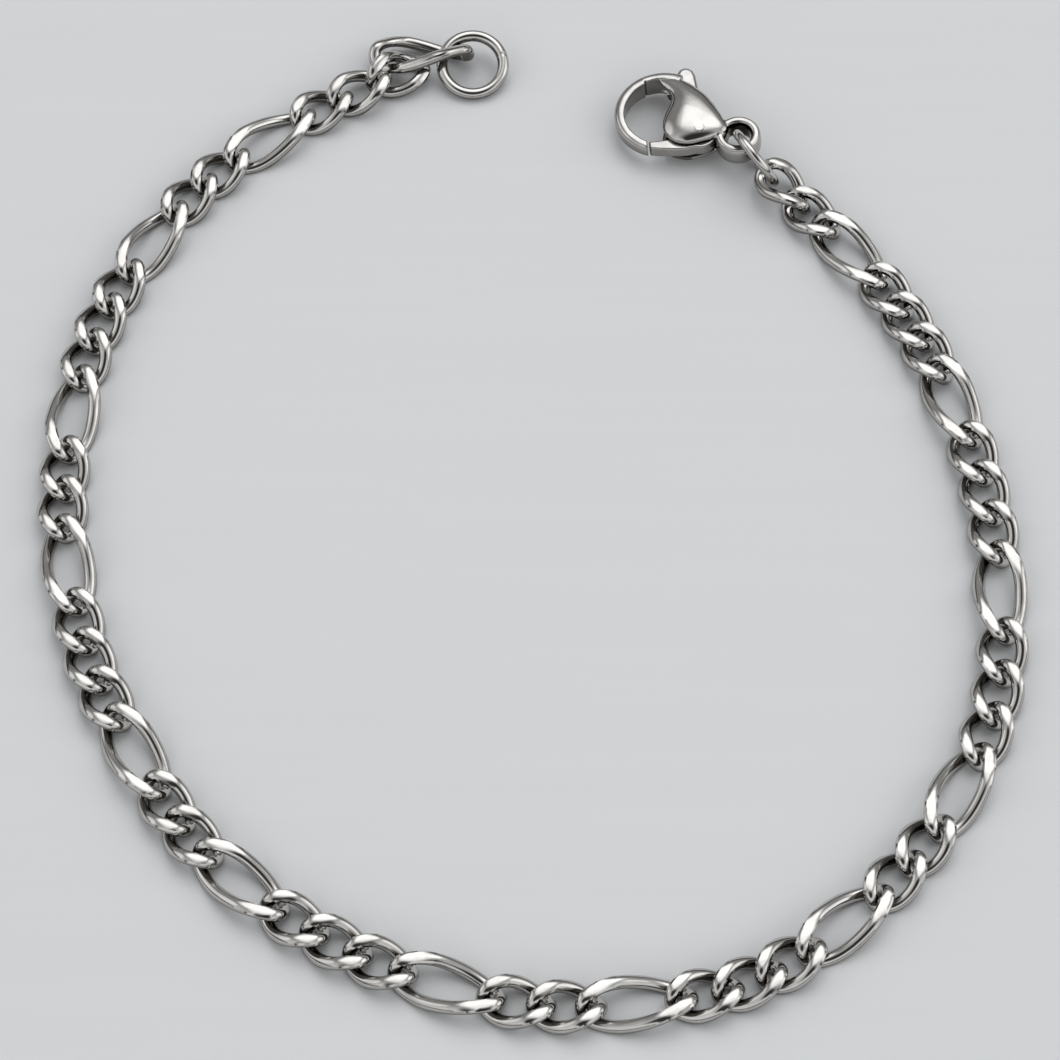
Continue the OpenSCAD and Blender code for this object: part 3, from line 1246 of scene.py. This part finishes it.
@dataclass
class SpringLever:
    """The clasp's lever: hub, gate and thumb tab.

    Attributes:
        place: Turn and place of the clasp.
        thick: Thickness, in millimetres.
        gate: Outline of the gate.
        gate_edge: Rounding of its edges.
        arm: Outline of the arm that carries the tab.
        arm_edge: Rounding of its edges.
        hub: Radius of the hub.
        hub_edge: Rounding of its edges.
        hub_set: How much thinner the hub is.
        rounds: How often the points are evened out.
        crease: Sharpest smooth edge, in degrees.
        finish: Steel of the lever.
    """

    place: Matrix
    thick: float = 0.98
    gate: tuple[Point2, ...] = (
        (-3.3, -1.6), (-2.6, -1.33), (-2.0, -1.05), (-0.8, -0.2), (0.95, -0.35), (0.65, -0.72),
        (0.2, -1.12), (-0.47, -1.5), (-1.0, -1.68), (-1.6, -1.84), (-2.3, -2.0), (-3.06, -2.14),
    )
    gate_edge: float = 0.1
    arm: tuple[Point2, ...] = (
        (-1.1, 0.1), (-2.65, 3.5), (-3.06, 4.4), (-3.19, 4.85), (-3.13, 5.24), (-2.86, 5.52),
        (-2.5, 5.59), (-2.14, 5.46), (-1.84, 5.1), (-1.34, 4.1), (0.9, 0.7),
    )
    arm_edge: float = 0.3
    hub: float = 1.18
    hub_edge: float = 0.08
    hub_set: float = 0.02
    rounds: int = 3
    crease: float = 50.0
    finish: Steel = LEVER_STEEL

    def plate(self, outline: Sequence[Point2], edge: float) -> bpy.types.Object:
        """A plate of the lever's thickness with rounded edges.

        Args:
            outline: Its corners, in order.
            edge: Rounding of its edges, in millimetres.

        Returns:
            The closed plate.
        """
        Bench.clear()
        bpy.ops.mesh.primitive_circle_add(vertices=len(outline), radius=1, fill_type="NGON")
        plate = bpy.context.object
        for vertex, (x, y) in zip(plate.data.vertices, outline):
            vertex.co = Vector((x, y, -self.thick / 2))
        Bench.edit(plate, "FACE")
        bpy.ops.mesh.select_all(action="SELECT")
        bpy.ops.mesh.extrude_region_move(TRANSFORM_OT_translate={"value": (0, 0, self.thick)})
        Bench.outward()
        Bench.done()
        Bench.soften(plate, edge, 4)
        return plate

    def painted_shade(self, spot: Vector) -> float:
        """Painted shade of a point: at the gate's end only.

        Args:
            spot: The point, in millimetres.

        Returns:
            Its darkness, from 0 to 1.
        """
        at_end = spot.y < 0 and math.hypot(spot.x, spot.y) > SHADE_PAINT.gate_reach
        return SHADE_PAINT.mouth_level if at_end else 0.0

    def build(self) -> bpy.types.Object:
        """Makes the lever in one piece.

        Returns:
            The lever in place.
        """
        gate = self.plate(self.gate, self.gate_edge)
        arm = self.plate(self.arm, self.arm_edge)
        Bench.clear()
        bpy.ops.mesh.primitive_cylinder_add(
            vertices=64, radius=self.hub, depth=self.thick - self.hub_set,
        )
        hub = bpy.context.object
        Bench.soften(hub, self.hub_edge, 3)
        lever = Bench.join([gate, arm, hub], "spring_lever")
        Bench.fuse(lever, self.rounds)
        # Paints shade on the gate's end
        PolishGroup.mark(lever, self.painted_shade)
        Bench.seat(lever, self.place)
        # Paints shade on the lever's sides that turn away from up
        CLASP_SIDE_SHADE.mark(lever)
        Bench.smooth(lever, self.crease)
        self.finish.dress(lever)
        return lever


@dataclass
class Rivet:
    """The pin that the lever turns on, ground flush with the cheeks.

    Attributes:
        place: Turn and place of the clasp.
        cheeks: Height over both cheeks where the pin is, in millimetres.
        width: Diameter.
        proud: How far its two ends stand out together.
        edge: Rounding of its ends.
        finish: Steel of the pin.
    """

    place: Matrix
    cheeks: float
    width: float = 0.8
    proud: float = 0.02
    edge: float = 0.08
    finish: Steel = CLASP_STEEL

    def build(self) -> bpy.types.Object:
        """Turns the pin and rounds its ends.

        Returns:
            The pin in place.
        """
        Bench.clear()
        bpy.ops.mesh.primitive_cylinder_add(
            vertices=48, radius=self.width / 2, depth=self.cheeks + self.proud,
        )
        rivet = bpy.context.object
        rivet.name = "rivet"
        Bench.soften(rivet, self.edge, 3)
        Bench.seat(rivet, self.place)
        Bench.smooth(rivet, 40)
        self.finish.dress(rivet)
        return rivet


@dataclass(frozen=True)
class Pane:
    """Soft-edged bright part of the room.

    Attributes:
        way: Direction to its middle.
        rim: Cosine of the angle from its middle to where it fades out.
        core: Cosine of the angle to where it is fully bright.
        level: Brightness that it adds.
    """

    way: Point3
    rim: float
    core: float
    level: float


@dataclass(frozen=True)
class Softbox:
    """Soft light that faces the bracelet.

    Attributes:
        name: Name of the light.
        spot: Its place, in metres.
        size: Its width and height, in metres.
        power: Its power, in watts.
    """

    name: str
    spot: Point3
    size: Point2
    power: float

    def hang(self) -> None:
        """Adds the light to the scene."""
        lamp = bpy.data.lights.new(self.name, "AREA")
        lamp.shape = "RECTANGLE"
        lamp.size, lamp.size_y = self.size
        lamp.energy = self.power
        stand = bpy.data.objects.new(self.name, lamp)
        stand.location = self.spot
        stand.rotation_mode = "QUATERNION"
        stand.rotation_quaternion = (-Vector(self.spot)).to_track_quat("-Z", "Y")
        bpy.context.collection.objects.link(stand)


@dataclass
class Sky(Wiring):
    """Nodes of the world, whose levels follow the direction."""

    def ramp(self, way: Point3, span: Point2, levels: Point2) -> bpy.types.NodeSocket:
        """Level that changes smoothly with how far a direction points one way.

        Args:
            way: The way.
            span: Shares of it where the change starts and ends.
            levels: Levels before and after.

        Returns:
            The socket that gives the level.
        """
        where = self.node("ShaderNodeTexCoord").outputs["Generated"]
        towards = self.node("ShaderNodeVectorMath", {0: where, 1: way}, operation="DOT_PRODUCT")
        feeds = {
            "Value": towards.outputs["Value"],
            "From Min": span[0], "From Max": span[1], "To Min": levels[0], "To Max": levels[1],
        }
        level = self.node("ShaderNodeMapRange", feeds, interpolation_type="SMOOTHSTEP")
        return level.outputs["Result"]


@dataclass
class Studio:
    """Surface, light and camera.

    Attributes:
        aim: Point of the surface under the picture's middle, in metres.
        distance: Way from there to the camera.
        elevation: Height of the camera above the surface, in degrees.
        lens: Focal length, in millimetres.
        picture: Width of the picture that it is for.
        clip: Nearest and furthest that the camera sees, in metres.
        floor_size: Width of the surface.
        floor_tones: The surface's two colours.
        floor_roughness: Its roughness.
        floor_gloss: Its specular level.
        grain_turn: Turn of its grain.
        grain_stretch: Fineness of the grain along and across.
        grain_scale: Fineness of the grain altogether.
        grain_detail: Detail of the grain.
        room_tone: Colour of the room's light.
        room_span: Shares of the way back where the room starts to dim and is dimmed.
        room_levels: Brightness of the room in front and at the back.
        dark_patch: Cosines where the dark round the camera starts and is full.
        dark_rim: Sines of the height where the dark low all round ends and is gone.
        dark_level: Share of the brightness that is left in the dark parts.
        panes: Bright parts of the room.
        softboxes: The lights.
    """

    aim: Point3 = (0.000134, -0.002398, 0.0)
    distance: float = 0.216
    elevation: float = 61.1
    lens: float = 108.68
    picture: float = 36.0
    clip: Point2 = (0.01, 10.0)
    floor_size: float = 4.0
    floor_tones: tuple[Colour, Colour] = ((0.79, 0.8, 0.81), (0.825, 0.83, 0.838))
    floor_roughness: float = 0.5
    floor_gloss: float = 0.3
    grain_turn: float = 0.35
    grain_stretch: Point3 = (12.0, 160.0, 1.0)
    grain_scale: float = 3.0
    grain_detail: float = 6.0
    room_tone: Colour = (0.985, 0.993, 1.0)
    room_span: Point2 = (-0.7, 0.6)
    room_levels: Point2 = (0.9, 0.33)
    dark_patch: Point2 = (0.84, 0.97)
    dark_rim: Point2 = (0.02, 0.34)
    dark_level: float = 0.05
    panes: tuple[Pane, ...] = (
        Pane((0.1, 0.5, 0.86), 0.83, 0.96, 1.15),
        Pane((0.85, 0.1, 0.45), 0.88, 0.97, 0.8),
        Pane((-0.85, 0.25, 0.5), 0.9, 0.97, 0.6),
    )
    softboxes: tuple[Softbox, ...] = (
        Softbox("window_back", (0.08, 0.4, 0.66), (0.62, 0.42), 0.3),
        Softbox("window_right", (0.72, 0.05, 0.46), (0.24, 0.6), 0.1),
    )

    def surface(self) -> bpy.types.Material:
        """Mixes the surface's finish, pale with a faint brushed grain.

        Returns:
            The material.
        """
        material = bpy.data.materials.new("pale_surface")
        material.use_nodes = True
        wiring = Wiring(material.node_tree)
        turned = wiring.node("ShaderNodeMapping", {
            "Vector": wiring.node("ShaderNodeTexCoord").outputs["Object"],
            "Rotation": (0, 0, self.grain_turn), "Scale": self.grain_stretch,
        })
        grain = wiring.node("ShaderNodeTexNoise", {
            "Vector": turned.outputs["Vector"],
            "Scale": self.grain_scale, "Detail": self.grain_detail,
        })
        tones = ((*tone, 1.0) for tone in self.floor_tones)
        face = material.node_tree.nodes["Principled BSDF"].inputs
        wiring.feed(face["Roughness"], self.floor_roughness)
        wiring.feed(face["Specular IOR Level"], self.floor_gloss)
        wiring.feed(face["Base Color"], wiring.blend(grain.outputs["Fac"], *tones))
        return material

    def floor(self) -> None:
        """Lays the surface."""
        Bench.clear()
        bpy.ops.mesh.primitive_plane_add(size=self.floor_size, location=(0, 0, 0))
        floor = bpy.context.object
        floor.name = "surface"
        floor.data.materials.append(self.surface())

    def room(self) -> None:
        """Paints the room: bright in front, dim at the back, dark where the camera stands."""
        world = bpy.data.worlds.new("room")
        world.use_nodes = True
        sky = Sky(world.node_tree)
        angle = math.radians(self.elevation)
        camera = (0, -math.cos(angle), math.sin(angle))
        room = sky.ramp((0, 1, 0), self.room_span, self.room_levels)
        patch = sky.ramp(camera, self.dark_patch, (1.0, self.dark_level))
        rim = sky.ramp((0, 0, 1), self.dark_rim, (self.dark_level, 1.0))
        light = sky.sum("MULTIPLY", sky.sum("MULTIPLY", room, patch), rim)
        for pane in self.panes:
            way = tuple(Vector(pane.way).normalized())
            light = sky.sum("ADD", light, sky.ramp(way, (pane.rim, pane.core), (0.0, pane.level)))
        back = world.node_tree.nodes["Background"].inputs
        sky.feed(back["Color"], (*self.room_tone, 1.0))
        sky.feed(back["Strength"], light)
        bpy.context.scene.world = world

    def camera(self) -> None:
        """Puts the camera at the photograph's angle."""
        eye = bpy.data.cameras.new("photo_camera")
        eye.lens, eye.sensor_width = self.lens, self.picture
        eye.clip_start, eye.clip_end = self.clip
        stand = bpy.data.objects.new("photo_camera", eye)
        rise = math.radians(self.elevation)
        away = Vector((0, -math.cos(rise), math.sin(rise)))
        stand.location = Vector(self.aim) + self.distance * away
        stand.rotation_euler = (math.radians(90 - self.elevation), 0, 0)
        bpy.context.collection.objects.link(stand)
        bpy.context.scene.camera = stand

    def build(self) -> None:
        """Sets everything up round the bracelet."""
        self.camera()
        self.floor()
        for softbox in self.softboxes:
            softbox.hang()
        self.room()
        bpy.context.scene.view_settings.view_transform = "Standard"


def main() -> None:
    """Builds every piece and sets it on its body."""
    logging.basicConfig(level=logging.INFO, format="%(message)s")
    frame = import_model()
    Studio().build()
    end_ring = WireRing(
        "end_ring_wire", "end_ring", outer=5.3, wire=0.84, side=93.0, tilt=17.0, joint=285.0,
    )
    jump_ring = WireRing(
        "jump_ring_wire", "jump_ring", outer=5.0, wire=0.7, side=211.5, tilt=66.0, joint=200.0,
    )
    clasp = LobsterClasp()
    rivet = Rivet(clasp.place(), 2 * clasp.upper.height(0, 0))
    pieces = [
        (Chain().build(frame["nodes"]["chain"]), "bracelet", "chain"),
        (end_ring.build(), "bracelet", "end_ring"),
        (jump_ring.build(), "bracelet", "jump_ring"),
        (clasp.build(), "bracelet", "clasp_body"),
        (SpringLever(clasp.place()).build(), "lever", "lever"),
        (rivet.build(), "bracelet", "pivot_pin"),
    ]
    for piece, body, node in pieces:
        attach(piece, body)
        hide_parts(node)
        LOG.info("%s: %d faces, for %s on %s", piece.name, len(piece.data.polygons), node, body)


if __name__ == "__main__":
    main()
